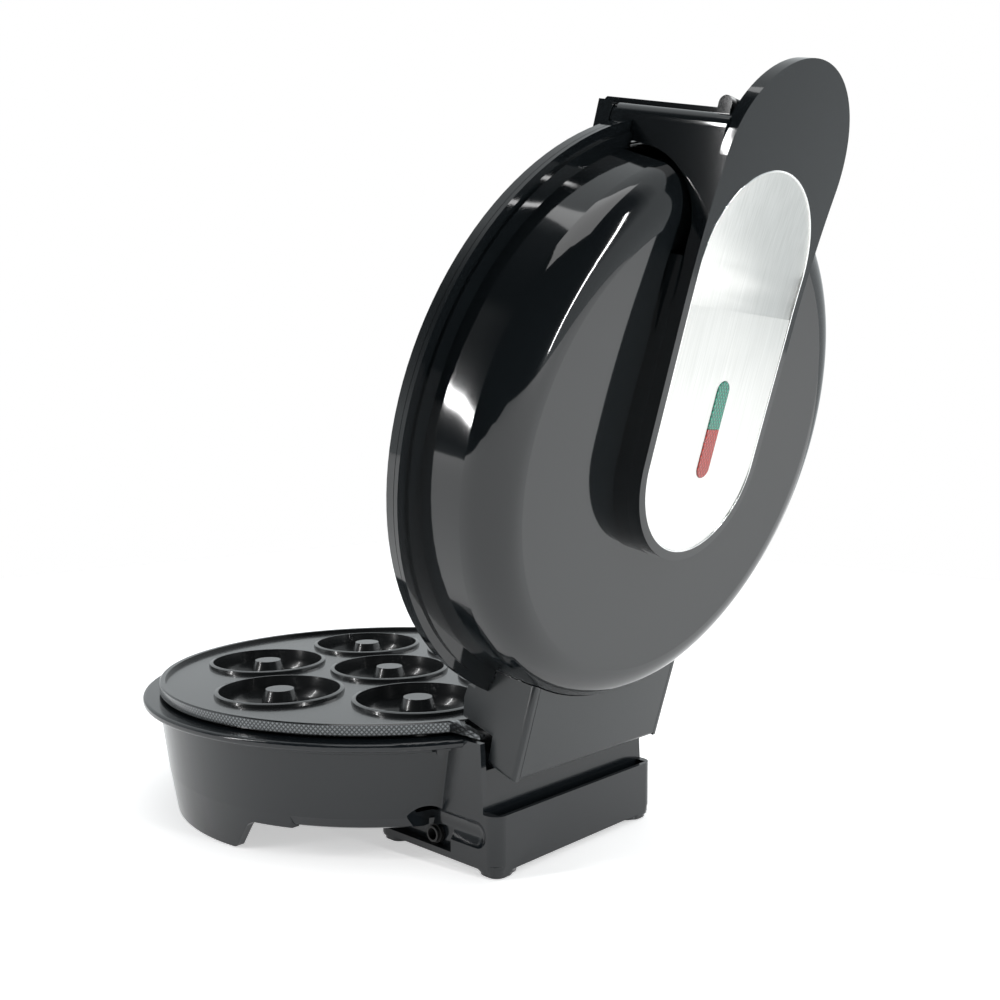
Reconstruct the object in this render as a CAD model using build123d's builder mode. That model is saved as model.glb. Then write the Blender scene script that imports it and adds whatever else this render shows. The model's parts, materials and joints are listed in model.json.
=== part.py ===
"""Seven-ring donut maker, standing open: base with its cooking plate, hinged domed lid, folding latch.

Frame: +X to the right, +Y to the back (hinge side), +Z up, floor at Z = 0, millimetres.
Base sizes are measured from the floor under the plate's axis.
Lid sizes are measured in the lid's own frame, from the rim plane of the closed lid on the plate's axis.
"""

import os
from math import cos, radians, sin, sqrt

from build123d import *

os.makedirs("parts", exist_ok=True)

# ---------------------------------------------------------------- driving dimensions (mm, degrees)
plate_y = -51.6  # plate axis behind the frame's origin, which is under the middle of the open machine

# cooking plates
plate_r = 100.2
plate_lip_top = 54.1  # above the floor
plate_gap = 0.4  # between the two plates' lips, lid closed
lip_width = 2.4
lip_height = 1.7
deck_t = 2.8
skirt_h = 4.0
plate_back = 91.0  # flat across the plate's back, clear of the hinge
ring_pitch = 60.0
ring_ridge_r = 26.8  # outside of the raised bead round each ring
bead_w = 1.8
cavity_depth = 12.6
post_top_r = 5.4
post_foot_r = 7.4

# base housing
wall = 2.5
flange_r = 107.0
flange_top = 48.5
flange_t = 3.0
bowl_top_r = 100.2
bowl_bottom_r = 96.6
bowl_bottom = 12.6
leg_r = 93.4
leg_t = 2.9
leg_from = -70.0  # front end of a leg's foot along Y
leg_to = 16.0
leg_flare = 9.0  # a leg is this much longer at the wall than at the floor, at each end
tower_half = 47.7
tower_back = 105.8
tower_top_back = 104.3
recess_floor = 38.5
recess_front = 88.5
block_half = 47.7
block_front_half = 43.8  # under the bowl, beside the cord inlet
block_waist = 89.0
block_front = 47.0
block_back = 112.3
block_top = 23.1
foot_seam = 4.9
channel_w = 4.9
channel_half = 44.6
channel_floor = 11.0

# hinge
rim_z = 55.7  # rim plane of the closed lid above the floor
hinge_back = 104.05
hinge_z = 61.7
open_angle = 106.2
pin_r = 2.5
run_fit = 0.05
lug_boss_r = 6.4
lug_in = 26.0
lug_out = 34.0

# lid
rim_r = 107.9
bezel_in_r = 100.8
bezel_t = 3.3
flange_step_z = 5.2
ledge_r = 104.6
ledge_z = 6.6
dome_foot_r = 99.9
dome_side_r = 98.0
dome_side_z = 22.0
shoulder_r = 83.4
shoulder_z = 34.1
dish_z = 30.2  # the dome's top is dished, and lowest in the middle
dome_wall = 2.4
pocket_depth = 2.5  # pocket in the dome that the handle's side walls dip into
pocket_half = 38.3
pocket_end = -40.0
pad_half = 36.1
pad_front = -64.0
pad_top = 36.6
bracket_half = 43.9
bracket_t = 3.0
cover_seam_z = 22.9
cover_top_z = 25.4
cover_back = 125.0
cover_foot_back = 124.8
cover_foot_z = 12.3
shelf_z = 13.4  # clears the base's lugs
edge_round = 1.8

# handle and fascia
handle_half = 35.3
handle_top = 41.2
handle_t = 4.6
curl_from = -50.0  # the handle's tip curls up in front of here
curl_r = 530.0
handle_tail = 3.0  # centre of the round rear end
handle_tip = -95.0  # centre of the round front end
handle_front = -107.2
handle_foot = -4.4
fascia_half = 32.0
fascia_t = 0.8
fascia_tip = -64.0
lens_half = 3.6
lens_front = -26.6
lens_split = -9.7
lens_back = 7.8
latch_half = 28.0
latch_t = 1.6
latch_foot = -14.6
latch_pin_z = 35.0
latch_pin_out = 3.0  # pin axis in front of the handle's face
latch_pin_r = 1.2

# heaters
heater_r = 60.0
heater_tube_r = 3.2
clamp_t = 1.5
clamp_screw_r = 74.0

# fasteners
screw_r = 1.5
screw_head_r = 2.8
screw_head_h = 2.0
fit = 0.05  # play round a screw in its thread hole
seat = 0.1  # play between seated mouldings

# ---------------------------------------------------------------- datums
floor = Plane((0, plate_y, 0))
side = Plane((0, plate_y, 0), x_dir=(0, 1, 0), z_dir=(1, 0, 0))
base_axis = Axis((0, plate_y, 0), (0, 0, 1))
pivot = Location((0, plate_y + hinge_back, hinge_z), (-open_angle, 0, 0))
lid = Plane(pivot * Location((0, -hinge_back, rim_z - hinge_z)))
lid_side = Plane(lid.origin, x_dir=lid.y_dir, z_dir=(1, 0, 0))
lid_axis = Axis(lid.origin, lid.z_dir)
lid_hinge_z = hinge_z - rim_z

ring_centres = [(0.0, 0.0)]
ring_centres += [(ring_pitch * cos(radians(a)), ring_pitch * sin(radians(a))) for a in range(0, 360, 60)]
plate_screw_angles = (30, 150, 210, 330)
plate_screw_r = 91.0
clamp_screw_angles = (30, 150, 270)


def on_circle(radius, angles):
    """Points of a bolt circle in the current sketch plane."""
    return [(radius * cos(radians(a)), radius * sin(radians(a))) for a in angles]


def save(part, name):
    """Label a finished piece and write it."""
    part.part.label = name
    export_step(part.part, f"parts/{name}.step")


def stadium(half, front, back):
    """Outline with round ends of radius half on the sketch's Y axis, the ends' centres at front and back."""
    with Locations((0, (front + back) / 2)):
        SlotCenterToCenter(back - front, 2 * half, rotation=90)


def screws(datum, points, grip, head_down=True):
    """Pan-head screws standing on datum at the points: head below, shank of length grip above."""
    with BuildPart() as group:
        with BuildSketch(datum.offset(-screw_head_h)):
            with Locations(*points):
                Circle(screw_head_r)
        extrude(amount=screw_head_h)
        fillet(group.edges().filter_by(GeomType.CIRCLE).group_by(Axis(datum.origin, datum.z_dir))[0], 0.8)
        with BuildSketch(datum):
            with Locations(*points):
                Circle(screw_r)
        extrude(amount=grip)
        with BuildSketch(datum.offset(-screw_head_h)):
            with Locations(*points):
                Rectangle(2.6, 0.6)
                Rectangle(0.6, 2.6)
        extrude(amount=1.0, mode=Mode.SUBTRACT)
    return group


# ---------------------------------------------------------------- cooking plates, heaters, reflectors
cup_wall = deck_t
deck_z = -lip_height  # all plate sizes are from the lip's top, downwards
deck_under = deck_z - deck_t
cup_under = -cavity_depth - cup_wall
bead_in_r = ring_ridge_r - bead_w
cavity_mid = (bead_in_r + post_foot_r) / 2
boss_foot = cup_under - 2 * heater_tube_r
screw_boss_foot = -8.1


def ring_cavity():
    """Space of one donut half, with the bead's top at Z = 0 and the post left standing."""
    with BuildPart() as cavity:
        with BuildSketch(Plane.XZ):
            with BuildLine():
                mouth = Line((post_top_r, 1), (bead_in_r, 1))
                outer = Line(mouth @ 1, (bead_in_r - 0.6, -cavity_depth / 3))
                trough = ThreePointArc(outer @ 1, (cavity_mid, -cavity_depth), (post_foot_r, -cavity_depth / 3))
                Line(trough @ 1, mouth @ 0)
            make_face()
        revolve(axis=Axis.Z)
    return cavity


def ring_cup():
    """Cast metal round one cavity: the bead above the deck and the cup below it."""
    with BuildPart() as cup:
        with BuildSketch(Plane.XZ):
            with BuildLine():
                Polyline(
                    (0, -0.1),
                    (bead_in_r + 0.4, -0.1),
                    (ring_ridge_r - 0.3, -0.35),
                    (ring_ridge_r, deck_z),
                    (ring_ridge_r, deck_under),
                    (ring_ridge_r - 4.5, cup_under + 1.5),
                    (ring_ridge_r - 7.5, cup_under),
                    (0, cup_under),
                    close=True,
                )
            make_face()
        revolve(axis=Axis.Z)
    return cup


cavity = ring_cavity()
cup = ring_cup()


def cooking_plate(datum, back):
    """Die-cast plate with its lip's top on datum and the cups below it; back is +1 or -1 along the datum's Y."""
    with BuildPart() as plate:
        with BuildSketch(datum.offset(-skirt_h)):
            Circle(plate_r)
        extrude(amount=skirt_h)
        chamfer(plate.edges().group_by(Axis(datum.origin, datum.z_dir))[-1], 0.5)
        with BuildSketch(datum.offset(deck_z)):
            Circle(plate_r - lip_width)
        extrude(amount=lip_height, mode=Mode.SUBTRACT)
        with BuildSketch(datum.offset(-skirt_h)):
            Circle(plate_r - deck_t)
        extrude(amount=skirt_h + deck_under + deck_t, mode=Mode.SUBTRACT)
        with BuildSketch(datum.offset(deck_under)):
            Circle(plate_r - 0.5)
        extrude(amount=deck_t)
        with BuildSketch(datum):
            with Locations((0, back * (plate_back + plate_r) / 2)):
                Rectangle(2 * plate_r, plate_r - plate_back)
        extrude(amount=-skirt_h - 1, mode=Mode.SUBTRACT)
        with Locations(*[datum.location * Location((x, y, 0)) for x, y in ring_centres]):
            add(cup.part)
        with BuildSketch(datum.offset(deck_under)):
            with Locations(*on_circle(clamp_screw_r, [back * a for a in clamp_screw_angles])):
                Circle(3.6)
        extrude(amount=boss_foot - deck_under)
        with BuildSketch(datum.offset(deck_under)):
            with Locations(*on_circle(plate_screw_r, plate_screw_angles)):
                Circle(4.0)
        extrude(amount=screw_boss_foot - deck_under)
        with Locations(*[datum.location * Location((x, y, 0)) for x, y in ring_centres]):
            add(cavity.part, mode=Mode.SUBTRACT)
        with BuildSketch(datum.offset(boss_foot)):
            with Locations(*on_circle(clamp_screw_r, [back * a for a in clamp_screw_angles])):
                Circle(screw_r + fit)
        extrude(amount=9, mode=Mode.SUBTRACT)
        with BuildSketch(datum.offset(screw_boss_foot)):
            with Locations(*on_circle(plate_screw_r, plate_screw_angles)):
                Circle(screw_r + fit)
        extrude(amount=5, mode=Mode.SUBTRACT)
    return plate


def tube_heater(datum, back):
    """C-shaped sheathed heater pressed against the cups' undersides, with its cold pins at the gap."""
    gap = 24.0
    level = cup_under - heater_tube_r
    start = radians(back * 90 + gap / 2)
    ring = Axis(datum.origin, datum.z_dir)
    across = datum.x_dir * cos(start) + datum.y_dir * sin(start)
    section = Plane(datum.origin, x_dir=across, z_dir=across.cross(datum.z_dir))
    with BuildPart() as heater:
        with BuildSketch(section):
            with Locations((heater_r, level)):
                Circle(heater_tube_r - fit)
        revolve(axis=ring, revolution_arc=360 - gap)
        for turn in (gap / 2, -gap / 2):
            angle = radians(back * 90 + turn)
            with BuildSketch(datum.offset(level)):
                with Locations((heater_r * cos(angle), heater_r * sin(angle))):
                    Circle(1.4)
            extrude(amount=-9.0)
    return heater


def clamp_ring(datum, back):
    """Pressed steel ring that holds the heater up against the cups, with three ears for its screws."""
    with BuildPart() as ring:
        with BuildSketch(datum.offset(boss_foot)):
            Circle(heater_r + 8)
            Circle(heater_r - 8, mode=Mode.SUBTRACT)
            with Locations(*on_circle(clamp_screw_r - 4, [back * a for a in clamp_screw_angles])):
                Circle(9.0)
            with Locations((0, back * heater_r)):
                Rectangle(36, 20, mode=Mode.SUBTRACT)
            with Locations(*on_circle(clamp_screw_r, [back * a for a in clamp_screw_angles])):
                Circle(screw_r + 2 * fit, mode=Mode.SUBTRACT)
        extrude(amount=-clamp_t)
    return ring


reflector_drop = 2.7  # reflector above or below the clamp ring
reflector_t = 0.8
reflector_r = 84.0


def reflector(datum, back):
    """Polished dish behind the heater, on three raised pads under the clamp ring's ears."""
    level = boss_foot - clamp_t
    ears = on_circle(clamp_screw_r, [back * a for a in clamp_screw_angles])
    with BuildPart() as dish:
        with BuildSketch(datum.offset(level - reflector_drop - reflector_t)):
            Circle(reflector_r)
            with Locations((0, back * (plate_back - 6))):
                Rectangle(120, 30, mode=Mode.SUBTRACT)
        extrude(amount=reflector_t)
        with BuildSketch(datum.offset(level - reflector_drop)):
            with Locations(*ears):
                Circle(5.0)
        extrude(amount=reflector_drop)
        with BuildSketch(datum.offset(level + 1)):
            with Locations(*ears):
                Circle(screw_r + 2 * fit)
            Circle(12.5)
            with Locations((0, back * heater_r)):
                Rectangle(34, 16)
        extrude(amount=-8, mode=Mode.SUBTRACT)
    return dish


lower = floor.offset(plate_lip_top)
upper_level = plate_lip_top + plate_gap - rim_z
upper = Plane(lid.offset(upper_level).origin, x_dir=lid.x_dir, z_dir=-lid.z_dir)

horn_in = 44.6
horn_out = 47.4
horn_tip = 103.8
with BuildPart() as lower_plate:
    add(cooking_plate(lower, 1).part)
    # a tapered horn on each side of the hinge, over the tower's side walls
    for start in (horn_in, -horn_out):
        with BuildSketch(side.offset(start)):
            with BuildLine():
                Polyline(
                    (plate_back - 5, plate_lip_top - skirt_h),
                    (plate_back - 5, plate_lip_top),
                    (plate_back, plate_lip_top),
                    (horn_tip, plate_lip_top - 2.6),
                    (horn_tip, plate_lip_top - skirt_h),
                    close=True,
                )
            make_face()
        extrude(amount=horn_out - horn_in)
save(lower_plate, "lower_plate")
save(cooking_plate(upper, -1), "upper_plate")

for label, datum, back in (("lower", lower, 1), ("upper", upper, -1)):
    save(tube_heater(datum, back), f"{label}_heater")
    save(clamp_ring(datum, back), f"{label}_clamp_ring")
    save(reflector(datum, back), f"{label}_reflector")
    clamp_level = boss_foot - clamp_t - reflector_drop - reflector_t
    clamp_grip = clamp_t + reflector_drop + reflector_t + 7
    clamp_points = on_circle(clamp_screw_r, [back * a for a in clamp_screw_angles])
    save(screws(datum.offset(clamp_level), clamp_points, clamp_grip), f"{label}_clamp_screws")

# ---------------------------------------------------------------- base housing
flange_under = flange_top - flange_t
bowl_in_top = bowl_top_r - wall
bowl_in_bottom = bowl_bottom_r - wall
cover_r = 90.3
cover_t = 2.2
boss_top = plate_lip_top + screw_boss_foot
bottom_screw_angles = (20, 160, 225, 315)
bottom_screw_r = 84.0
gland_y = 78.0
gland_z = 8.75
gland_r = 3.0
catch_half = 25.0
catch_depth = 11.0
flute_r = 7.0
flute_depth = 2.2
flute_z = 15.0
seam_back = 90.6
block_in_half = block_front_half - wall
foot_screw_x = block_in_half - 4
foot_screw_y = (block_back - block_front) / 2 - 6.5
foot_mid = (block_front + block_back) / 2
cheek_in = 27.5
cheek_slot = 0.8

with BuildPart() as front_leg:
    with BuildSketch(side):
        with BuildLine():
            Polyline(
                (leg_r, 0),
                (bowl_bottom_r, bowl_bottom + 5),
                (bowl_bottom_r - leg_t, bowl_bottom + 5),
                (leg_r - leg_t, 0),
                close=True,
            )
        make_face()
    revolve(axis=base_axis)
    with BuildSketch(side) as leg_outline:
        with BuildLine():
            Polyline(
                (leg_from, 0),
                (leg_from - leg_flare, bowl_bottom),
                (leg_from - 2 * leg_flare, bowl_bottom),
                (leg_from - 2 * leg_flare, bowl_bottom + 6),
                (leg_to + 3 * leg_flare, bowl_bottom + 6),
                (leg_to + 3 * leg_flare, bowl_bottom),
                (leg_to + leg_flare, bowl_bottom),
                (leg_to, 0),
                close=True,
            )
        make_face()
        fillet(leg_outline.vertices().group_by(Axis.Y)[0], 3)
        fillet(leg_outline.vertices().group_by(Axis.Y)[-2].sort_by(Axis.X)[1:-1], 6)
    extrude(amount=flange_r, mode=Mode.INTERSECT)

with BuildPart() as base_housing:
    # outer forms: bowl, tower behind it, and the low block across the back
    with BuildSketch(side):
        with BuildLine():
            Polyline(
                (0, flange_top),
                (flange_r, flange_top),
                (flange_r, flange_under),
                (bowl_top_r + 1.6, flange_under),
                (bowl_top_r + 1.0, flange_under - 2.2),
                (bowl_top_r, flange_under - 2.6),
                (bowl_bottom_r, bowl_bottom + 5),
                (bowl_bottom_r - 1.6, bowl_bottom + 1.4),
                (bowl_bottom_r - 4.6, bowl_bottom),
                (0, bowl_bottom),
                close=True,
            )
        make_face()
    revolve(axis=base_axis)
    fillet(base_housing.edges().filter_by(GeomType.CIRCLE).group_by(SortBy.RADIUS)[-1], 1.2)
    with BuildSketch(side):
        with BuildLine():
            Polyline(
                (block_front, flange_top),
                (tower_top_back, flange_top),
                (tower_back, block_top - 2),
                (tower_back - 8, block_top - 3),
                (tower_back - 17, bowl_bottom + 1),
                (block_front, bowl_bottom + 1),
                close=True,
            )
        make_face()
    extrude(amount=tower_half, both=True)
    with BuildSketch(floor.offset(foot_seam)) as block_plan:
        with Locations((0, (block_waist + block_back) / 2)):
            Rectangle(2 * block_half, block_back - block_waist)
        fillet(block_plan.vertices().group_by(Axis.Y)[-1], 5)
        with Locations((0, block_front)):
            Rectangle(2 * block_front_half, 60, align=(Align.CENTER, Align.MIN))
    extrude(amount=block_top - foot_seam)
    # hollow flute along each side, where the tower runs down into the block
    for sign in (1, -1):
        with BuildSketch(Plane.XZ.offset(-plate_y - block_waist + 12)):
            with Locations((sign * (block_half + flute_r - flute_depth), flute_z)):
                Circle(flute_r)
        extrude(amount=-25, mode=Mode.SUBTRACT)
        with Locations((sign * (block_half + flute_r - flute_depth), plate_y + block_waist + 13, flute_z)):
            Sphere(flute_r, mode=Mode.SUBTRACT)
    # hollow down the seam between bowl and tower
    with BuildSketch(floor.offset(bowl_bottom + 2)):
        for sign in (1, -1):
            with Locations((sign * (tower_half + 5), seam_back)):
                Circle(5)
    extrude(amount=flange_under - bowl_bottom - 2, mode=Mode.SUBTRACT)

    # inside of the bowl, of the tower under its recess, and of the block
    with BuildSketch(side):
        with BuildLine():
            Polyline(
                (0, flange_top + 1),
                (bowl_in_top, flange_top + 1),
                (bowl_in_top, flange_under - 2),
                (bowl_in_bottom, bowl_bottom + 6),
                (cover_r - 2.5, bowl_bottom + 5),
                (cover_r - 2.5, bowl_bottom + cover_t),
                (cover_r + seat, bowl_bottom + cover_t),
                (cover_r + seat, bowl_bottom),
                (0, bowl_bottom),
                close=True,
            )
        make_face()
    revolve(axis=base_axis, mode=Mode.SUBTRACT)
    with BuildSketch(side):
        with BuildLine():
            Polyline(
                (block_front + wall, foot_seam - 1),
                (block_front + wall, bowl_bottom + 8),
                (recess_front - wall, recess_floor - wall),
                (tower_back - wall - 0.8, recess_floor - wall),
                (tower_back - wall, channel_floor - wall),
                (block_back - wall, channel_floor - wall),
                (block_back - wall, foot_seam - 1),
                close=True,
            )
        make_face()
    extrude(amount=block_in_half, both=True, mode=Mode.SUBTRACT)

    # recess that the lid's hinge turns in, open to the top and the back
    with BuildSketch(side):
        with Locations((recess_front, flange_top)):
            Rectangle(60, flange_top - recess_floor, align=(Align.MIN, Align.MAX))
    extrude(amount=tower_half - wall, both=True, mode=Mode.SUBTRACT)
    with BuildSketch(side):
        with BuildLine():
            Polyline(
                (recess_front - wall, flange_top),
                (recess_front - wall, recess_floor - wall),
                (tower_back - 2.2, recess_floor - wall),
                (tower_back - 1.0, recess_floor),
                (recess_front, recess_floor),
                (recess_front, flange_top),
                close=True,
            )
        make_face()
    extrude(amount=tower_half - wall, both=True)

    # hinge lugs standing in the recess
    for start in (lug_in, -lug_out):
        with BuildSketch(side.offset(start)):
            with Locations((hinge_back, hinge_z)):
                Circle(lug_boss_r)
            with BuildLine():
                Polyline(
                    (hinge_back - lug_boss_r, hinge_z),
                    (hinge_back - lug_boss_r, recess_floor - 1),
                    (hinge_back - 0.4, recess_floor - 1),
                    (hinge_back - 0.4, hinge_z),
                    close=True,
                )
            make_face()
        extrude(amount=lug_out - lug_in)
    with BuildSketch(side.offset(-lug_out - 1)):
        with Locations((hinge_back, hinge_z)):
            Circle(pin_r + run_fit)
    extrude(amount=2 * lug_out + 2, mode=Mode.SUBTRACT)

    # trough across the block's top
    with BuildSketch(floor.offset(channel_floor)):
        with Locations((0, tower_back)):
            Rectangle(2 * channel_half, channel_w, align=(Align.CENTER, Align.MIN))
    extrude(amount=block_top, mode=Mode.SUBTRACT)

    # front catch for the latch, with slots in the flange for the lid's two cheeks
    with BuildSketch(floor.offset(flange_top - catch_depth)):
        with Locations((0, -(bowl_top_r + flange_r) / 2)):
            Rectangle(2 * catch_half, flange_r - bowl_top_r + 1.4)
    extrude(amount=catch_depth)
    with BuildSketch(floor.offset(flange_under - 2)):
        for sign in (1, -1):
            with Locations((sign * (cheek_in + handle_half) / 2, -flange_r)):
                Rectangle(handle_half - cheek_in + 2 * cheek_slot, 21.5)
    extrude(amount=flange_t + 3, mode=Mode.SUBTRACT)
    with BuildSketch(floor.offset(rim_z + latch_foot - 0.8)):
        with Locations((0, -flange_r)):
            Rectangle(2 * latch_half + 2, 6.4)
    extrude(amount=3.2, mode=Mode.SUBTRACT)

    # legs, plate bosses and cover bosses
    add(front_leg.part)
    add(front_leg.part.mirror(Plane.YZ))
    with BuildSketch(floor.offset(bowl_bottom + 8)):
        with Locations(*on_circle(plate_screw_r, plate_screw_angles)):
            Circle(4.4)
    extrude(amount=boss_top - bowl_bottom - 8)
    with BuildSketch(floor.offset(bowl_bottom + 8)):
        with Locations(*on_circle(plate_screw_r, plate_screw_angles)):
            Circle(screw_head_r + 0.3)
    extrude(amount=boss_top - bowl_bottom - 12, mode=Mode.SUBTRACT)
    with BuildSketch(floor.offset(bowl_bottom + 8)):
        with Locations(*on_circle(plate_screw_r, plate_screw_angles)):
            Circle(screw_r + 2 * fit)
    extrude(amount=boss_top, mode=Mode.SUBTRACT)
    with BuildSketch(floor.offset(bowl_bottom + cover_t)):
        with Locations(*on_circle(bottom_screw_r, bottom_screw_angles)):
            Rectangle(9, 9)
    extrude(amount=9)
    with BuildSketch(floor.offset(bowl_bottom + cover_t)):
        with Locations(*on_circle(bottom_screw_r, bottom_screw_angles)):
            Circle(screw_r + fit)
    extrude(amount=7, mode=Mode.SUBTRACT)

    # cord inlet through the block's right side, and posts for the foot plate's screws
    with BuildSketch(side.offset(block_front_half - 2 * wall)):
        with Locations((gland_y, gland_z)):
            Circle(gland_r + seat)
    extrude(amount=3 * wall, mode=Mode.SUBTRACT)
    with BuildSketch(floor.offset(foot_seam)):
        with Locations((0, foot_mid)):
            with GridLocations(2 * foot_screw_x, 2 * foot_screw_y, 2, 2):
                Rectangle(9, 9)
    extrude(amount=channel_floor - foot_seam - 1)
    with BuildSketch(floor.offset(foot_seam)):
        with Locations((0, foot_mid)):
            with GridLocations(2 * foot_screw_x, 2 * foot_screw_y, 2, 2):
                Circle(screw_r + fit)
    extrude(amount=4.5, mode=Mode.SUBTRACT)
save(base_housing, "base_housing")

save(screws(floor.offset(boss_top - 4), on_circle(plate_screw_r, plate_screw_angles), 8.5), "lower_plate_screws")

with BuildPart() as bottom_cover:
    with BuildSketch(floor.offset(bowl_bottom)):
        Circle(cover_r)
        with Locations((0, block_front + 60 - seat)):
            Rectangle(2 * (block_front_half + seat), 120, mode=Mode.SUBTRACT)
        with Locations(*on_circle(bottom_screw_r, bottom_screw_angles)):
            Circle(screw_r + 2 * fit, mode=Mode.SUBTRACT)
        with GridLocations(0, 9, 1, 7):
            with Locations((-34, -18), (34, -18)):
                SlotOverall(34, 3.2, mode=Mode.SUBTRACT)
    extrude(amount=cover_t)
save(bottom_cover, "bottom_cover")
cover_points = on_circle(bottom_screw_r, bottom_screw_angles)
save(screws(floor.offset(bowl_bottom), cover_points, cover_t + 6), "bottom_cover_screws")

foot_t = 2.5
foot_inset = 0.3
foot_pad = 10.6
foot_pad_x = block_half - foot_inset - 1.2 - foot_pad / 2
foot_pad_y = (block_back - block_front - foot_pad) / 2 - foot_inset - 0.8
with BuildPart() as foot_plate:
    with BuildSketch(floor.offset(foot_seam - foot_t)) as foot_plan:
        with Locations((0, foot_mid)):
            Rectangle(2 * (block_half - foot_inset), block_back - block_front - 2 * foot_inset)
        fillet(foot_plan.vertices(), 4.7)
    extrude(amount=foot_t)
    with BuildSketch(floor.offset(1.6)):
        with Locations((0, foot_mid)):
            with GridLocations(2 * foot_pad_x, 2 * foot_pad_y, 2, 2):
                RectangleRounded(foot_pad + 1.6, foot_pad + 1.6, 4.5)
    extrude(amount=foot_seam - foot_t - 1.6)
    with BuildSketch(floor):
        with Locations((0, foot_mid)):
            with GridLocations(2 * foot_pad_x, 2 * foot_pad_y, 2, 2):
                RectangleRounded(foot_pad, foot_pad, 4)
    extrude(amount=foot_seam - foot_t)
    with BuildSketch(floor.offset(foot_seam - foot_t)):
        with Locations((0, foot_mid)):
            with GridLocations(2 * foot_screw_x, 2 * foot_screw_y, 2, 2):
                Circle(5.0)
    extrude(amount=-foot_seam + foot_t + 0.4)
    with BuildSketch(floor):
        with Locations((0, foot_mid)):
            with GridLocations(2 * foot_screw_x, 2 * foot_screw_y, 2, 2):
                Circle(screw_head_r + 0.3)
    extrude(amount=2.6, mode=Mode.SUBTRACT)
    with BuildSketch(floor):
        with Locations((0, foot_mid)):
            with GridLocations(2 * foot_screw_x, 2 * foot_screw_y, 2, 2):
                Circle(screw_r + 2 * fit)
    extrude(amount=foot_seam, mode=Mode.SUBTRACT)
save(foot_plate, "foot_plate")
foot_points = [(sx * foot_screw_x, foot_mid + sy * foot_screw_y) for sx in (1, -1) for sy in (1, -1)]
save(screws(floor.offset(2.6), foot_points, foot_seam - 2.6 + 4), "foot_plate_screws")

with BuildPart() as cord_gland:
    with BuildSketch(side.offset(block_front_half - wall - 2)):
        with Locations((gland_y, gland_z)):
            Circle(gland_r)
    extrude(amount=wall + 5)
    with BuildSketch(side.offset(block_front_half)):
        with Locations((gland_y, gland_z)):
            Circle(gland_r + 0.7)
    extrude(amount=1.6)
    with BuildSketch(side.offset(block_front_half - wall - 1.6)):
        with Locations((gland_y, gland_z)):
            Circle(gland_r + 0.7)
    extrude(amount=1.5)
    with BuildSketch(side.offset(block_front_half - 2 * wall)):
        with Locations((gland_y, gland_z)):
            Circle(gland_r - 0.8)
    extrude(amount=20, mode=Mode.SUBTRACT)
save(cord_gland, "cord_gland")

with BuildPart() as terminal_block:
    with BuildSketch(floor.offset(foot_seam)):
        with Locations((-16, 80)):
            Rectangle(32, 16)
    extrude(amount=11)
    with BuildSketch(floor.offset(foot_seam + 6)):
        with Locations((-16, 80)):
            with GridLocations(10, 0, 3, 1):
                Rectangle(7, 17)
    extrude(amount=5, mode=Mode.SUBTRACT)
    with BuildSketch(floor.offset(foot_seam + 6)):
        with Locations((-16, 80)):
            with GridLocations(10, 7, 3, 2):
                Circle(2.0)
    extrude(amount=2.2)
save(terminal_block, "terminal_block")

with BuildPart() as thermal_fuse:
    fuse_level = plate_lip_top + deck_under - 2.0
    with BuildSketch(side.offset(-6)):
        with Locations((-86, fuse_level)):
            Circle(1.95)
    extrude(amount=12)
    with BuildSketch(side.offset(-16)):
        with Locations((-86, fuse_level)):
            Circle(0.6)
    extrude(amount=32)
save(thermal_fuse, "thermal_fuse")

# ---------------------------------------------------------------- lid
cheek_foot = -10.8
cheek_step = -99.2  # back of the handle's side walls at the rim
handle_clear = 0.5  # between the handle's sides and the dome
bracket_gap = 0.25  # round the hinge bracket
flange_cut_half = handle_half + 0.4


def dome_solid(grow, foot, middle):
    """Solid under the dome's outer surface, grown outwards by grow, from the level foot up to middle on its axis."""
    with BuildPart() as solid:
        with BuildSketch(lid_side):
            with BuildLine():
                wall_line = Polyline(
                    (0, foot),
                    (dome_foot_r + grow, foot),
                    (dome_foot_r + grow, ledge_z),
                    (dome_side_r + grow, dome_side_z),
                )
                shoulder = TangentArc(wall_line @ 1, (shoulder_r, shoulder_z + grow), tangent=wall_line % 1)
                halfway = middle + (shoulder_z + grow - middle) / 4 + 0.001
                crown = ThreePointArc(shoulder @ 1, (shoulder_r / 2, halfway), (0, middle))
                Line(crown @ 1, (0, foot))
            make_face()
        revolve(axis=lid_axis)
    return solid


def strip(half, front, back, low, high):
    """Block of half-width half between two places along the lid's Y and two levels."""
    with BuildPart() as block:
        with BuildSketch(lid.offset(low)):
            with Locations((0, front)):
                Rectangle(2 * half, back - front, align=(Align.CENTER, Align.MIN))
        extrude(amount=high - low)
    return block


dome_outer = dome_solid(0, 3.5, dish_z)
dome_inner = dome_solid(-dome_wall, 3.0, dish_z - dome_wall)
dome_for_bracket = dome_solid(bracket_gap, -12, dish_z)
pocket_level = shoulder_z - pocket_depth
pocket_floor = dome_solid(-pocket_depth, 3.5, pocket_level)
pocket_under = dome_solid(-pocket_depth - dome_wall, 3.0, pocket_level - dome_wall)
dome_for_handle = dome_solid(handle_clear - pocket_depth, -12, pocket_level + handle_clear)

with BuildPart() as pocket_cut:
    add(strip(pocket_half, -rim_r, pocket_end, ledge_z, pad_top + 4).part)
    add(pocket_floor.part, mode=Mode.SUBTRACT)

with BuildPart() as pocket_skin:
    add(pocket_floor.part)
    add(pocket_under.part, mode=Mode.SUBTRACT)
    add(strip(pocket_half + dome_wall, -rim_r, pocket_end + dome_wall, ledge_z - 3, pad_top).part, mode=Mode.INTERSECT)

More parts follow.
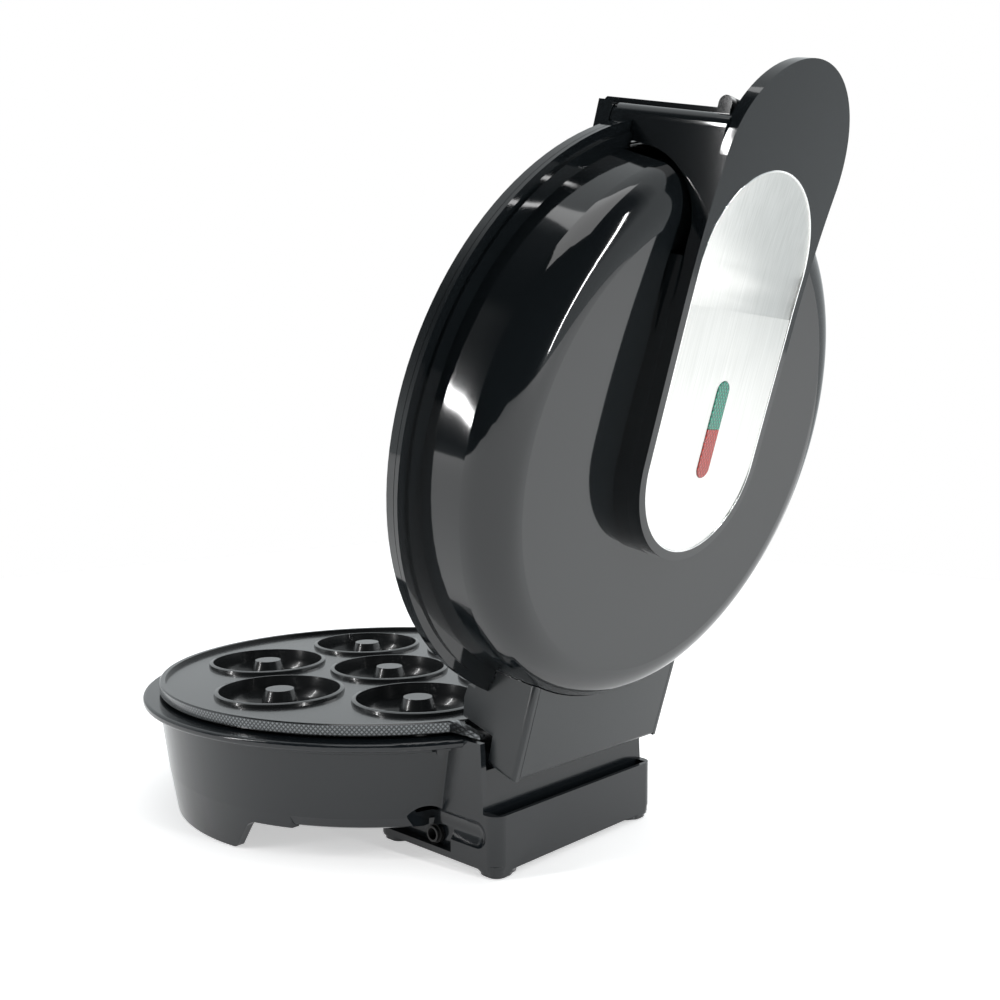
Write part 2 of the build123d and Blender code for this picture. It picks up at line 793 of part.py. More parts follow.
with BuildPart() as lid_shell:
    with BuildSketch(lid_side):
        with BuildLine():
            Polyline(
                (dome_foot_r - dome_wall, bezel_t + 0.2),
                (rim_r, bezel_t + 0.2),
                (rim_r, flange_step_z),
                (ledge_r, flange_step_z),
                (ledge_r, ledge_z),
                (dome_foot_r - dome_wall, ledge_z),
                close=True,
            )
        make_face()
    revolve(axis=lid_axis)
    # flange left out where the handle and the hinge bracket come down
    with BuildSketch(lid.offset(2)):
        with Locations((0, -rim_r)):
            Rectangle(2 * flange_cut_half, 30)
        with Locations((0, rim_r)):
            Rectangle(2 * (bracket_half + bracket_gap), 60)
    extrude(amount=10, mode=Mode.SUBTRACT)
    add(dome_outer.part)
    add(pocket_cut.part, mode=Mode.SUBTRACT)
    with BuildSketch(lid.offset(dome_side_z)):
        stadium(pad_half, pad_front - pad_half, handle_tail)
        with Locations((0, pad_front)):
            Rectangle(3 * pad_half, 2 * pad_half, align=(Align.CENTER, Align.MAX), mode=Mode.SUBTRACT)
    extrude(amount=pad_top - dome_side_z)
    add(dome_inner.part, mode=Mode.SUBTRACT)
    add(pocket_skin.part)
    with BuildSketch(lid.offset(dome_side_z)):
        stadium(pad_half - dome_wall, pad_front - pad_half, handle_tail)
        with Locations((0, pad_front + dome_wall)):
            Rectangle(3 * pad_half, 2 * pad_half, align=(Align.CENTER, Align.MAX), mode=Mode.SUBTRACT)
    extrude(amount=pad_top - dome_wall - dome_side_z, mode=Mode.SUBTRACT)
    # lamp window and handle screw holes in the pad's roof
    with BuildSketch(lid.offset(dome_side_z)):
        with Locations((0, (lens_front + lens_back) / 2)):
            Rectangle(16, lens_back - lens_front + 9)
    extrude(amount=pad_top, mode=Mode.SUBTRACT)
    with BuildSketch(lid.offset(pad_top - 5)):
        with Locations((0, -14)):
            with GridLocations(44, 76, 2, 2):
                Circle(screw_r + 2 * fit)
    extrude(amount=8, mode=Mode.SUBTRACT)
    # four bosses that the upper plate is screwed to, and holes for the hinge bracket's screws
    with BuildSketch(lid.offset(upper_level - screw_boss_foot)):
        with Locations(*on_circle(plate_screw_r, plate_screw_angles)):
            Circle(4.4)
    extrude(amount=dome_side_z + 4 - upper_level + screw_boss_foot)
    with BuildSketch(lid.offset(upper_level - screw_boss_foot)):
        with Locations(*on_circle(plate_screw_r, plate_screw_angles)):
            Circle(screw_r + fit)
    extrude(amount=10, mode=Mode.SUBTRACT)
    bracket_screw_z = 18.6
    with BuildSketch(Plane(lid.origin, x_dir=(1, 0, 0), z_dir=lid.y_dir).offset(80)):
        with Locations((-20, -bracket_screw_z), (20, -bracket_screw_z)):
            Circle(screw_r + 2 * fit)
    extrude(amount=30, mode=Mode.SUBTRACT)
save(lid_shell, "lid_shell")

with BuildPart() as lid_bezel:
    with BuildSketch(lid):
        Circle(rim_r)
        Circle(bezel_in_r, mode=Mode.SUBTRACT)
        with Locations((0, handle_front + 2.7)):
            Rectangle(2 * flange_cut_half, 20, align=(Align.CENTER, Align.MAX), mode=Mode.SUBTRACT)
        for sign in (1, -1):
            with Locations((sign * (handle_half + flange_cut_half - dome_wall) / 2, cheek_step)):
                Rectangle(dome_wall + 0.9, 20, align=(Align.CENTER, Align.MAX), mode=Mode.SUBTRACT)
        with Locations((0, rim_r)):
            Rectangle(2 * (bracket_half + bracket_gap), 60, mode=Mode.SUBTRACT)
    extrude(amount=bezel_t)
    # two cheeks that drop into the base's flange when the lid is closed
    for sign in (1, -1):
        with BuildSketch(lid.offset(cheek_foot)):
            with Locations((sign * (cheek_in + handle_half) / 2, handle_front)):
                Rectangle(handle_half - cheek_in, 9.6, align=(Align.CENTER, Align.MIN))
        extrude(amount=handle_foot - cheek_foot - 0.4)
        with BuildSketch(lid.offset(handle_foot - 0.5)):
            with Locations((sign * cheek_in, handle_front + 2.9)):
                align_x = Align.MIN if sign > 0 else Align.MAX
                Rectangle(handle_half - dome_wall - cheek_in - 0.4, 6.7, align=(align_x, Align.MIN))
        extrude(amount=0.6 - handle_foot)
save(lid_bezel, "lid_bezel")

# hinge bracket: two side plates and a shelf between them, with bosses that hold the pins
web_t = 2.2
with BuildPart() as hinge_bracket:
    for start in (bracket_half - bracket_t, -bracket_half):
        with BuildSketch(lid_side.offset(start)):
            with BuildLine():
                Polyline(
                    (80, cover_top_z),
                    (cover_back, cover_top_z),
                    (cover_foot_back, cover_foot_z),
                    (113.3, cover_foot_z - 0.7),
                    (112.8, -4.0),
                    (106.0, -5.5),
                    (100.4, -4.9),
                    (100.4, -1.4),
                    (92.6, -1.4),
                    (92.6, 7.0),
                    (80, 7.0),
                    close=True,
                )
            make_face()
        extrude(amount=bracket_t)
    for face in (hinge_bracket.faces().sort_by(Axis.X)[0], hinge_bracket.faces().sort_by(Axis.X)[-1]):
        rounded = [e for e in face.edges() if lid.to_local_coords(e.center()).Z > cover_foot_z + 2]
        fillet([e for e in rounded if lid.to_local_coords(e.center()).Y > 82], edge_round)
    with BuildSketch(lid_side):
        with Locations((80, shelf_z)):
            Rectangle(cover_foot_back - 3.2 - 80, web_t, align=(Align.MIN, Align.MIN))
    extrude(amount=bracket_half, both=True)
    with BuildSketch(lid.offset(shelf_z)):
        with Locations((-20, 99), (20, 99)):
            Rectangle(11, 16)
    extrude(amount=cover_seam_z - shelf_z)
    add(dome_for_bracket.part, mode=Mode.SUBTRACT)
    for start, length in ((lug_out + 0.6, bracket_half - lug_out - 0.6), (-bracket_half, bracket_half - lug_out - 0.6)):
        with BuildSketch(lid_side.offset(start)):
            with Locations((hinge_back, lid_hinge_z)):
                Circle(6.0)
        extrude(amount=length)
    for start in (lug_out, -bracket_half + 1.6):
        with BuildSketch(lid_side.offset(start)):
            with Locations((hinge_back, lid_hinge_z)):
                Circle(pin_r)
        extrude(amount=bracket_half - 1.6 - lug_out, mode=Mode.SUBTRACT)
    with BuildSketch(Plane(lid.origin, x_dir=(1, 0, 0), z_dir=lid.y_dir).offset(90)):
        with Locations((-20, -bracket_screw_z), (20, -bracket_screw_z)):
            Circle(screw_r + fit)
    extrude(amount=15, mode=Mode.SUBTRACT)
    with BuildSketch(lid.offset(shelf_z - 1)):
        with Locations((-32, 116), (32, 116)):
            Circle(screw_r + 2 * fit)
    extrude(amount=6, mode=Mode.SUBTRACT)
save(hinge_bracket, "hinge_bracket")

dome_screw_y = sqrt((dome_side_r - dome_wall) ** 2 - 20**2) - 1.4
dome_screws = Plane(lid.origin, x_dir=(1, 0, 0), z_dir=lid.y_dir).offset(dome_screw_y)
save(screws(dome_screws, [(-20, -bracket_screw_z), (20, -bracket_screw_z)], 11), "hinge_bracket_screws")

with BuildPart() as hinge_cover:
    with BuildSketch(lid_side):
        with BuildLine():
            Polyline(
                (80, cover_seam_z),
                (80, cover_top_z),
                (cover_back, cover_top_z),
                (cover_foot_back, cover_foot_z),
                (cover_foot_back - 2.5, cover_foot_z),
                (cover_back - 2.5, cover_seam_z),
                close=True,
            )
        make_face()
    extrude(amount=bracket_half - bracket_t - 0.2, both=True)
    back_corner = [e for e in hinge_cover.edges() if lid.to_local_coords(e.center()).Z > cover_top_z - 0.1]
    fillet([e for e in back_corner if lid.to_local_coords(e.center()).Y > cover_back - 0.1], edge_round - 0.2)
    add(dome_for_bracket.part, mode=Mode.SUBTRACT)
    with BuildSketch(lid.offset(shelf_z + web_t)):
        with Locations((-32, 116), (32, 116)):
            Circle(3.6)
    extrude(amount=cover_seam_z - shelf_z - web_t)
    with BuildSketch(lid.offset(shelf_z + web_t)):
        with Locations((-32, 116), (32, 116)):
            Circle(screw_r + fit)
    extrude(amount=7, mode=Mode.SUBTRACT)
save(hinge_cover, "hinge_cover")
save(screws(lid.offset(shelf_z), [(-32, 116), (32, 116)], 8), "hinge_cover_screws")

with BuildPart() as hinge_pins:
    with BuildSketch(lid_side.offset(lug_in - 1.9)):
        with Locations((hinge_back, lid_hinge_z)):
            Circle(4.0)
    extrude(amount=1.5)
    with BuildSketch(lid_side.offset(lug_in - 0.4)):
        with Locations((hinge_back, lid_hinge_z)):
            Circle(pin_r)
    extrude(amount=bracket_half - 1.6 - lug_in + 0.4)
    mirror(about=Plane.YZ)
save(hinge_pins, "hinge_pins")

# ---------------------------------------------------------------- handle, fascia, lamps
fascia_drop = 0.2  # fascia below the handle's face
ear_gap = 0.4
ear_t = 2.6
arch_foot = -95.9
lens_floor = pad_top - 1


def curled(low, high, half, front, back):
    """Slab between two depths under the handle's curled face, with a stadium outline of ends at front and back."""
    reach = 90.0
    rise = reach**2 / (2 * curl_r)
    tail = back + half + 1
    with BuildPart() as slab:
        with BuildSketch(lid_side):
            with BuildLine():
                upper_flat = Line((tail, handle_top + high), (curl_from, handle_top + high))
                upper_curl = ThreePointArc(
                    upper_flat @ 1,
                    (curl_from - reach / 2, handle_top + high + rise / 4),
                    (curl_from - reach, handle_top + high + rise),
                )
                front_end = Line(upper_curl @ 1, (curl_from - reach, handle_top + low + rise))
                lower_curl = ThreePointArc(
                    front_end @ 1,
                    (curl_from - reach / 2, handle_top + low + rise / 4),
                    (curl_from, handle_top + low),
                )
                lower_flat = Line(lower_curl @ 1, (tail, handle_top + low))
                Line(lower_flat @ 1, upper_flat @ 0)
            make_face()
        extrude(amount=half + 1, both=True)
        with BuildSketch(lid.offset(handle_top - 20)):
            stadium(half, front, back)
        extrude(amount=40, mode=Mode.INTERSECT)
    return slab


with BuildPart() as handle:
    with BuildSketch(lid.offset(handle_foot)) as front_plan:
        with Locations((0, handle_front)):
            Rectangle(2 * handle_half, pad_front - 0.4 - handle_front, align=(Align.CENTER, Align.MIN))
        fillet(front_plan.vertices().group_by(Axis.Y)[0], 4.5)
    extrude(amount=handle_top - 1 - handle_foot)
    # back edge of the side walls: upright at the rim, then an arch over the dome's shoulder
    with BuildSketch(lid_side):
        with BuildLine():
            rim_edge = Polyline(
                (pad_front + 10, pad_top),
                (pad_front + 10, handle_foot - 1),
                (cheek_step - 2.2, handle_foot - 1),
                (cheek_step - 0.4, bezel_t + 0.5),
                (arch_foot, bezel_t + 0.5),
                (arch_foot + 1, 12),
            )
            arch = ThreePointArc(rim_edge @ 1, (-89.3, 27.0), (-73.4, pad_top))
            Line(arch @ 1, rim_edge @ 0)
        make_face()
    extrude(amount=flange_r, both=True, mode=Mode.SUBTRACT)
    with BuildSketch(lid.offset(handle_foot)):
        with Locations((0, handle_front + dome_wall)):
            Rectangle(2 * (handle_half - dome_wall), 60, align=(Align.CENTER, Align.MIN))
    extrude(amount=pad_top - handle_foot, mode=Mode.SUBTRACT)
    add(dome_for_handle.part, mode=Mode.SUBTRACT)
    add(curled(-handle_t, 0, handle_half, handle_tip, handle_tail).part)
    add(curled(-fascia_drop - fascia_t, 5, fascia_half + seat, fascia_tip, handle_tail).part, mode=Mode.SUBTRACT)
    with BuildSketch(lid.offset(lens_floor)):
        stadium(lens_half + seat, lens_front + lens_half, lens_back - lens_half)
    extrude(amount=9, mode=Mode.SUBTRACT)
    with BuildSketch(lid.offset(pad_top - 1)):
        with Locations((0, -14)):
            with GridLocations(44, 76, 2, 2):
                Circle(screw_r + fit)
    extrude(amount=3.6, mode=Mode.SUBTRACT)
    # ears for the latch's pin
    for start in (latch_half + ear_gap, -latch_half - ear_gap - ear_t):
        with BuildSketch(lid_side.offset(start)):
            with Locations((handle_front - latch_pin_out, latch_pin_z)):
                Circle(2.4)
                Rectangle(latch_pin_out + 1, 4.8, align=(Align.MIN, Align.CENTER))
        extrude(amount=ear_t)
    with BuildSketch(lid_side.offset(-latch_half - 2)):
        with Locations((handle_front - latch_pin_out, latch_pin_z)):
            Circle(latch_pin_r)
    extrude(amount=2 * latch_half + 4, mode=Mode.SUBTRACT)
save(handle, "handle")
handle_points = [(sx * 22, -14 + sy * 38) for sx in (1, -1) for sy in (1, -1)]
save(screws(lid.offset(pad_top - dome_wall), handle_points, dome_wall + 2.4), "handle_screws")

with BuildPart() as fascia_plate:
    add(curled(-fascia_drop - fascia_t, -fascia_drop, fascia_half, fascia_tip, handle_tail).part)
    with BuildSketch(lid.offset(lens_floor)):
        stadium(lens_half + seat, lens_front + lens_half, lens_back - lens_half)
    extrude(amount=9, mode=Mode.SUBTRACT)
save(fascia_plate, "fascia_plate")

for label, keep_from, keep_to in (
    ("ready_lens", lens_front - 1, lens_split - 0.05),
    ("power_lens", lens_split + 0.05, lens_back + 1),
):
    with BuildPart() as lens:
        with BuildSketch(lid.offset(pad_top)):
            stadium(lens_half, lens_front + lens_half, lens_back - lens_half)
        extrude(amount=handle_top + 0.2 - pad_top)
        fillet(lens.edges().group_by(lid_axis)[-1], 0.4)
        with BuildSketch(lid.offset(pad_top - 1)):
            with Locations((0, keep_from)):
                Rectangle(20, keep_to - keep_from, align=(Align.CENTER, Align.MIN))
        extrude(amount=10, mode=Mode.INTERSECT)
    save(lens, label)

lamp_mid_y = (lens_front + lens_back) / 2
with BuildPart() as lamp_holder:
    with BuildSketch(lid.offset(pad_top - 7.2)):
        with Locations((0, lamp_mid_y)):
            Rectangle(15.4, lens_back - lens_front + 8)
    extrude(amount=7.2)
    with BuildSketch(lid.offset(pad_top - 6)):
        with Locations((0, lamp_mid_y)):
            with GridLocations(0, 18.6, 1, 2):
                Rectangle(9, 16.4)
    extrude(amount=6, mode=Mode.SUBTRACT)
save(lamp_holder, "lamp_holder")

with BuildPart() as neon_lamps:
    lamp_plane = Plane(lid.origin, x_dir=(1, 0, 0), z_dir=lid.y_dir)
    for offset_y in (-9.3, 9.3):
        with BuildSketch(lamp_plane.offset(lamp_mid_y + offset_y - 6)):
            with Locations((0, -(pad_top - 3.4))):
                Circle(2.5)
        extrude(amount=12)
    fillet(neon_lamps.edges().filter_by(GeomType.CIRCLE), 1.2)
save(neon_lamps, "neon_lamps")

with BuildPart() as thermostat:
    stat = upper.offset(cup_under)
    with BuildSketch(stat):
        Circle(8.0)
    extrude(amount=-7.5)
    with BuildSketch(stat):
        SlotOverall(23, 6)
    extrude(amount=-1.0)
    with BuildSketch(stat.offset(-7.5)):
        with GridLocations(8, 0, 2, 1):
            Rectangle(0.8, 4.8)
    extrude(amount=-5)
save(thermostat, "thermostat")

# ---------------------------------------------------------------- latch
latch_back = handle_front - 0.5
latch_out = latch_back - latch_t
hook_in = 2.4
with BuildPart() as latch_flap:
    with BuildSketch(lid_side.offset(-latch_half)):
        with BuildLine():
            Polyline(
                (latch_out, latch_pin_z),
                (latch_out, latch_foot + 0.8),
                (latch_out + 0.8, latch_foot),
                (latch_back + hook_in - 0.8, latch_foot),
                (latch_back + hook_in, latch_foot + 0.7),
                (latch_back + hook_in, latch_foot + 1.7),
                (latch_back, latch_foot + 1.7),
                (latch_back, latch_pin_z),
                close=True,
            )
        make_face()
        with Locations((handle_front - latch_pin_out, latch_pin_z)):
            Circle(2.3)
    extrude(amount=2 * latch_half)
    with BuildSketch(lid_side.offset(-latch_half)):
        with Locations((handle_front - latch_pin_out, latch_pin_z)):
            Circle(latch_pin_r + run_fit)
    extrude(amount=2 * latch_half, mode=Mode.SUBTRACT)
save(latch_flap, "latch_flap")

with BuildPart() as latch_pin:
    with BuildSketch(lid_side.offset(-latch_half - 2)):
        with Locations((handle_front - latch_pin_out, latch_pin_z)):
            Circle(latch_pin_r)
    extrude(amount=2 * latch_half + 4)
save(latch_pin, "latch_pin")

with BuildPart() as upper_plate_studs:
    with BuildSketch(lid.offset(upper_level - screw_boss_foot - 4.6)):
        with Locations(*on_circle(plate_screw_r, plate_screw_angles)):
            Circle(screw_r)
    extrude(amount=13)
save(upper_plate_studs, "upper_plate_studs")
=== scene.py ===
"""Looks of the seven-ring donut maker: finishes, fascia bead, floor, light and camera."""

from __future__ import annotations

import json
import logging
import math
from dataclasses import dataclass, field
from enum import Enum
from typing import Any

import bpy
from mathutils import Matrix, Vector

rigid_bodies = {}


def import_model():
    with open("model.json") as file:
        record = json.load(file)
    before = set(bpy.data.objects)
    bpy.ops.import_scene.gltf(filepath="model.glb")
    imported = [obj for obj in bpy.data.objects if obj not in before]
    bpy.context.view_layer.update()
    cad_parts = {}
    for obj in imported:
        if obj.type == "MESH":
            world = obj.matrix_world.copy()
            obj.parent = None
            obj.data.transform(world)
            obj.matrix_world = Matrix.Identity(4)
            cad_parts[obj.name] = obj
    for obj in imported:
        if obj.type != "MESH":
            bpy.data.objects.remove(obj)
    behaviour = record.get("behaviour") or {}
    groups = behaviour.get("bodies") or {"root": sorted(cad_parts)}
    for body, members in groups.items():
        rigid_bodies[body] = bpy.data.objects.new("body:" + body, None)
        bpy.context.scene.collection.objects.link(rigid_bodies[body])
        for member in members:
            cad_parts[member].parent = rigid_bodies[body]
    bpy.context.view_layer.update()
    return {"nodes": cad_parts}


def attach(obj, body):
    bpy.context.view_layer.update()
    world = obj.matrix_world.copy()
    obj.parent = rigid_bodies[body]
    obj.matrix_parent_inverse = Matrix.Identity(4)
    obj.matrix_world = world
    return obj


log = logging.getLogger("donut_maker")
MM = 0.001
LID_TURN = math.radians(106.2)

# Lower plate, in metres: its axis, where its flat starts behind the axis, and its rough radius.
PLATE_AXIS_Y = -0.0516
PLATE_FLAT_Y = 0.0912
PLATE_RADIUS = 0.1
# How metallic the plate's knurled edge is.
EDGE_METAL = 0.85

# The wave texture repeats once in this many units when its scale is one.
WAVE_PERIOD = 0.314
PRISM_ANGLE = 0.62
# Brushing draws the grain out fifty times along the steel.
BRUSH_SQUEEZE = 0.02
GRAIN_DETAIL = 3.0
GRAIN_ROUGHNESS = 0.55
BROAD_SCALE = 14.0
BROAD_DETAIL = 2.0
COAT_ROUGHNESS = 0.05

# Points nearer than this, in metres, are one point.
WELD_DISTANCE = 0.00001
EDGE_ANGLE = math.radians(32)


# ---------------------------------------------------------------- small helpers
def linear(hex_code: str) -> tuple[float, float, float, float]:
    """Turn an sRGB hex colour into a linear one.

    Args:
        hex_code: Colour such as "#3a3f41".

    Returns:
        Linear red, green, blue and an alpha of one.
    """
    parts = [int(hex_code[i : i + 2], 16) / 255 for i in (1, 3, 5)]
    r, g, b = (c / 12.92 if c <= 0.04045 else ((c + 0.055) / 1.055) ** 2.4 for c in parts)
    return (r, g, b, 1.0)


def add_node(
    tree: bpy.types.NodeTree, kind: str, links: dict[str | int, Any] | None = None, **settings: Any
) -> Any:
    """Add one shader node with its settings and incoming links.

    Args:
        tree: Node tree that gets the node.
        kind: Blender's node type name.
        links: Input name or number to an output socket to link, or to a plain value.
        settings: Attributes of the node.

    Returns:
        The new node.
    """
    node = tree.nodes.new(kind)
    for name, value in settings.items():
        setattr(node, name, value)
    for name, value in (links or {}).items():
        if isinstance(value, bpy.types.NodeSocket):
            tree.links.new(value, node.inputs[name])
        else:
            node.inputs[name].default_value = value
    return node


def maths(tree: bpy.types.NodeTree, operation: str, first: Any, second: Any) -> Any:
    """Add one sum on two values.

    Args:
        tree: Node tree that gets the node.
        operation: Blender's name of the sum.
        first: Socket or number.
        second: Socket or number.

    Returns:
        The socket with the result.
    """
    return add_node(tree, "ShaderNodeMath", {0: first, 1: second}, operation=operation).outputs[0]


class Texture(Enum):
    """How a finish's surface was made."""

    MOULDED = "moulded"
    SPARKED = "spark-eroded mould"
    COATED = "sprayed coating"
    BRUSHED = "brushed lengthwise"
    TURNED = "plain machined"
    PRISM = "moulded prisms"


@dataclass(frozen=True)
class Finish:
    """One real material and its surface."""

    name: str
    colour: str
    second: str
    roughness: float
    texture: Texture
    grain_mm: float
    depth_mm: float
    metallic: float = 0.0
    ior: float = 1.5
    coat: float = 0.0
    transmission: float = 0.0
    spread: float = 0.08
    anisotropy: float = 0.0

    def height(self, tree: bpy.types.NodeTree, place: Any) -> Any:
        """Make the socket that carries the surface's fine relief.

        Args:
            tree: The material's nodes.
            place: Object coordinates.

        Returns:
            A float socket from 0 to 1.
        """
        turned = add_node(tree, "ShaderNodeMapping", {"Vector": place, "Rotation": (LID_TURN, 0, 0)})
        lid_place = turned.outputs["Vector"]
        if self.texture is Texture.PRISM:
            ridges = []
            for angle in (PRISM_ANGLE, -PRISM_ANGLE):
                spun = add_node(tree, "ShaderNodeMapping", {"Vector": lid_place, "Rotation": (0, 0, angle)})
                wave = add_node(
                    tree,
                    "ShaderNodeTexWave",
                    {"Vector": spun.outputs["Vector"], "Scale": WAVE_PERIOD / (self.grain_mm * MM)},
                    wave_profile="TRI",
                )
                ridges.append(wave.outputs["Fac"])
            return maths(tree, "MINIMUM", ridges[0], ridges[1])
        source = place
        if self.texture is Texture.BRUSHED:
            squeeze = (1.0, BRUSH_SQUEEZE, 1.0)
            drawn = add_node(tree, "ShaderNodeMapping", {"Vector": lid_place, "Scale": squeeze})
            source = drawn.outputs["Vector"]
        grain = add_node(
            tree,
            "ShaderNodeTexNoise",
            {
                "Vector": source,
                "Scale": 1 / (self.grain_mm * MM),
                "Detail": GRAIN_DETAIL,
                "Roughness": GRAIN_ROUGHNESS,
            },
        )
        return grain.outputs["Fac"]

    def make(self) -> bpy.types.Material:
        """Build the procedural material.

        Returns:
            The material, ready for an object's slot.
        """
        material = bpy.data.materials.new(self.name)
        material.use_nodes = True
        tree = material.node_tree
        shader = tree.nodes["Principled BSDF"]
        shader.inputs["Metallic"].default_value = self.metallic
        if not self.metallic:
            shader.inputs["IOR"].default_value = self.ior
        if self.coat:
            shader.inputs["Coat Weight"].default_value = self.coat
            shader.inputs["Coat Roughness"].default_value = COAT_ROUGHNESS
        if self.transmission:
            shader.inputs["Transmission Weight"].default_value = self.transmission
        if self.anisotropy:
            shader.inputs["Anisotropic"].default_value = self.anisotropy
        place = add_node(tree, "ShaderNodeTexCoord").outputs["Object"]
        relief = self.height(tree, place)
        broad = add_node(
            tree, "ShaderNodeTexNoise", {"Vector": place, "Scale": BROAD_SCALE, "Detail": BROAD_DETAIL}
        )
        # per finish this is random tone for most, brushing grain for the steel, and for the lenses painted
        # shade in the prism valleys with painted light on the prism ridges
        tone_grain_and_prism_shade = relief if self.texture in (Texture.PRISM, Texture.BRUSHED) else broad.outputs["Fac"]
        # sockets 6 and 7 are the mix node's two colours, whose names the float ones share
        tone = add_node(
            tree,
            "ShaderNodeMix",
            {0: tone_grain_and_prism_shade, 6: linear(self.colour), 7: linear(self.second)},
            data_type="RGBA",
        )
        colour = tone.outputs[2]
        low, high = self.roughness * (1 - self.spread), self.roughness * (1 + self.spread)
        rough = add_node(tree, "ShaderNodeMapRange", {"Value": relief, "To Min": low, "To Max": high})
        tree.links.new(colour, shader.inputs["Base Color"])
        tree.links.new(rough.outputs["Result"], shader.inputs["Roughness"])
        bump = add_node(
            tree, "ShaderNodeBump", {"Height": relief, "Distance": self.depth_mm * MM, "Strength": 1.0}
        )
        tree.links.new(bump.outputs["Normal"], shader.inputs["Normal"])
        self.trim(tree, place, shader)
        return material

    def trim(self, tree: bpy.types.NodeTree, place: Any, shader: Any) -> None:
        """Add what only some finishes have; a plain finish has nothing."""


@dataclass(frozen=True)
class PlateCoating(Finish):
    """Coating of the cooking plates, whose edge outside a radius is knurled bright metal.

    The radius is measured round the lower plate's axis for both plates, so the upper plate's
    face gets the knurled metal as well.
    """

    edge_radius_mm: float = 100.05
    knurl_mm: float = 0.9

    def trim(self, tree: bpy.types.NodeTree, place: Any, shader: Any) -> None:
        """Show knurled metal outside the edge radius.

        Args:
            tree: The material's nodes.
            place: Object coordinates.
            shader: The material's shader.
        """
        split = add_node(tree, "ShaderNodeSeparateXYZ", {0: place})
        across = split.outputs["X"]
        along = maths(tree, "ADD", split.outputs["Y"], -PLATE_AXIS_Y)
        flat = add_node(tree, "ShaderNodeCombineXYZ", {"X": across, "Y": along}).outputs[0]
        length = add_node(tree, "ShaderNodeVectorMath", {0: flat}, operation="LENGTH")
        radius = length.outputs["Value"]
        outside = maths(tree, "GREATER_THAN", radius, self.edge_radius_mm * MM)
        beside = maths(tree, "GREATER_THAN", along, PLATE_FLAT_Y)
        edge = maths(tree, "MAXIMUM", outside, beside)
        turn = maths(tree, "ARCTAN2", along, across)
        around = maths(tree, "MULTIPLY", turn, PLATE_RADIUS)
        cuts = []
        for sign in (1.0, -1.0):
            climb = maths(tree, "MULTIPLY", split.outputs["Z"], sign)
            both = maths(tree, "ADD", around, climb)
            step = maths(tree, "DIVIDE", both, self.knurl_mm * MM)
            cuts.append(maths(tree, "PINGPONG", step, 1.0))
        knurl = maths(tree, "MINIMUM", cuts[0], cuts[1])
        # the knurl has no relief of its own: its valleys are painted shade, near black, and its ridges show
        # the edge's grey metal
        metal = add_node(
            tree, "ShaderNodeMix", {0: knurl, 6: linear("#17191a"), 7: linear("#85898b")}, data_type="RGBA"
        )
        old = shader.inputs["Base Color"].links[0].from_socket
        mixed = add_node(tree, "ShaderNodeMix", {0: edge, 6: old, 7: metal.outputs[2]}, data_type="RGBA")
        tree.links.new(mixed.outputs[2], shader.inputs["Base Color"])
        shine = maths(tree, "MULTIPLY", edge, EDGE_METAL)
        tree.links.new(shine, shader.inputs["Metallic"])


# Polished injection mould: deep reflections with a faint waviness.
LID_GLOSS = Finish(
    "gloss_black_moulded_polyamide", "#0f1214", "#14181a", 0.06, Texture.MOULDED, 14.0, 0.004, coat=0.15
)
# Same plastic from a satin mould: the wall's highlight is broad and soft.
BASE_SATIN = Finish(
    "satin_black_moulded_phenolic", "#13171a", "#181c1f", 0.15, Texture.SPARKED, 0.9, 0.003
)
# Satin side panels of the hinge bracket.
BRACKET_SATIN = Finish(
    "satin_black_moulded_bracket", "#1b1e20", "#202426", 0.3, Texture.SPARKED, 0.8, 0.006
)
# Non-stick sprayed on cast aluminium: soft sheen with a fine speckle.
NON_STICK = PlateCoating(
    "non_stick_coated_cast_aluminium", "#1d1f20", "#27292a", 0.24, Texture.COATED, 0.7, 0.012, coat=0.3
)
# Belt-brushed stainless steel.
FASCIA_STEEL = Finish(
    "brushed_stainless_steel",
    "#cfd0cc",
    "#f0f0ee",
    0.32,
    Texture.BRUSHED,
    0.5,
    0.003,
    metallic=1.0,
    anisotropy=0.5,
)
RIM_STEEL = Finish(
    "polished_stainless_bead", "#e6e7e6", "#f2f3f2", 0.12, Texture.TURNED, 2.0, 0.002, metallic=1.0
)
SCREW_STEEL = Finish(
    "zinc_plated_steel", "#a9a9a6", "#b9b9b4", 0.3, Texture.TURNED, 1.0, 0.004, metallic=1.0
)
HEATER_STEEL = Finish(
    "heat_tinted_sheath_steel", "#6b625a", "#7d7468", 0.42, Texture.TURNED, 1.4, 0.01, metallic=1.0
)
REFLECTOR = Finish(
    "polished_aluminium_sheet", "#cfd0d0", "#dcdddd", 0.18, Texture.TURNED, 3.0, 0.01, metallic=1.0
)
# Each lens's first, darker colour is painted shade in its prism valleys, and its second, lighter colour is
# painted light on its prism ridges.
GREEN_LENS = Finish(
    "green_polycarbonate", "#04493a", "#2fb597", 0.12, Texture.PRISM, 1.3, 0.3, ior=1.58, coat=0.4
)
RED_LENS = Finish(
    "red_polycarbonate", "#6d0f09", "#df4434", 0.12, Texture.PRISM, 1.3, 0.3, ior=1.58, coat=0.4
)
NYLON = Finish("natural_nylon", "#d8d5c8", "#e2dfd3", 0.45, Texture.MOULDED, 1.0, 0.01)
RUBBER = Finish("black_rubber", "#1d1d1d", "#232323", 0.6, Texture.SPARKED, 0.6, 0.02)
BRASS = Finish("plated_brass_case", "#c7a66a", "#d2b377", 0.28, Texture.TURNED, 1.0, 0.005, metallic=1.0)
LAMP_GLASS = Finish(
    "neon_lamp_glass", "#f0d9c8", "#f4e2d5", 0.05, Texture.MOULDED, 4.0, 0.001, transmission=0.9
)

# Width of the small round that a mould or a press leaves on each piece's edges.
EDGE_ROUNDS_MM: dict[str, float] = {
    "hinge_bracket": 0.35,
    "hinge_cover": 0.35,
    "fascia_plate": 0.25,
    "foot_plate": 0.4,
    "latch_flap": 0.3,
}

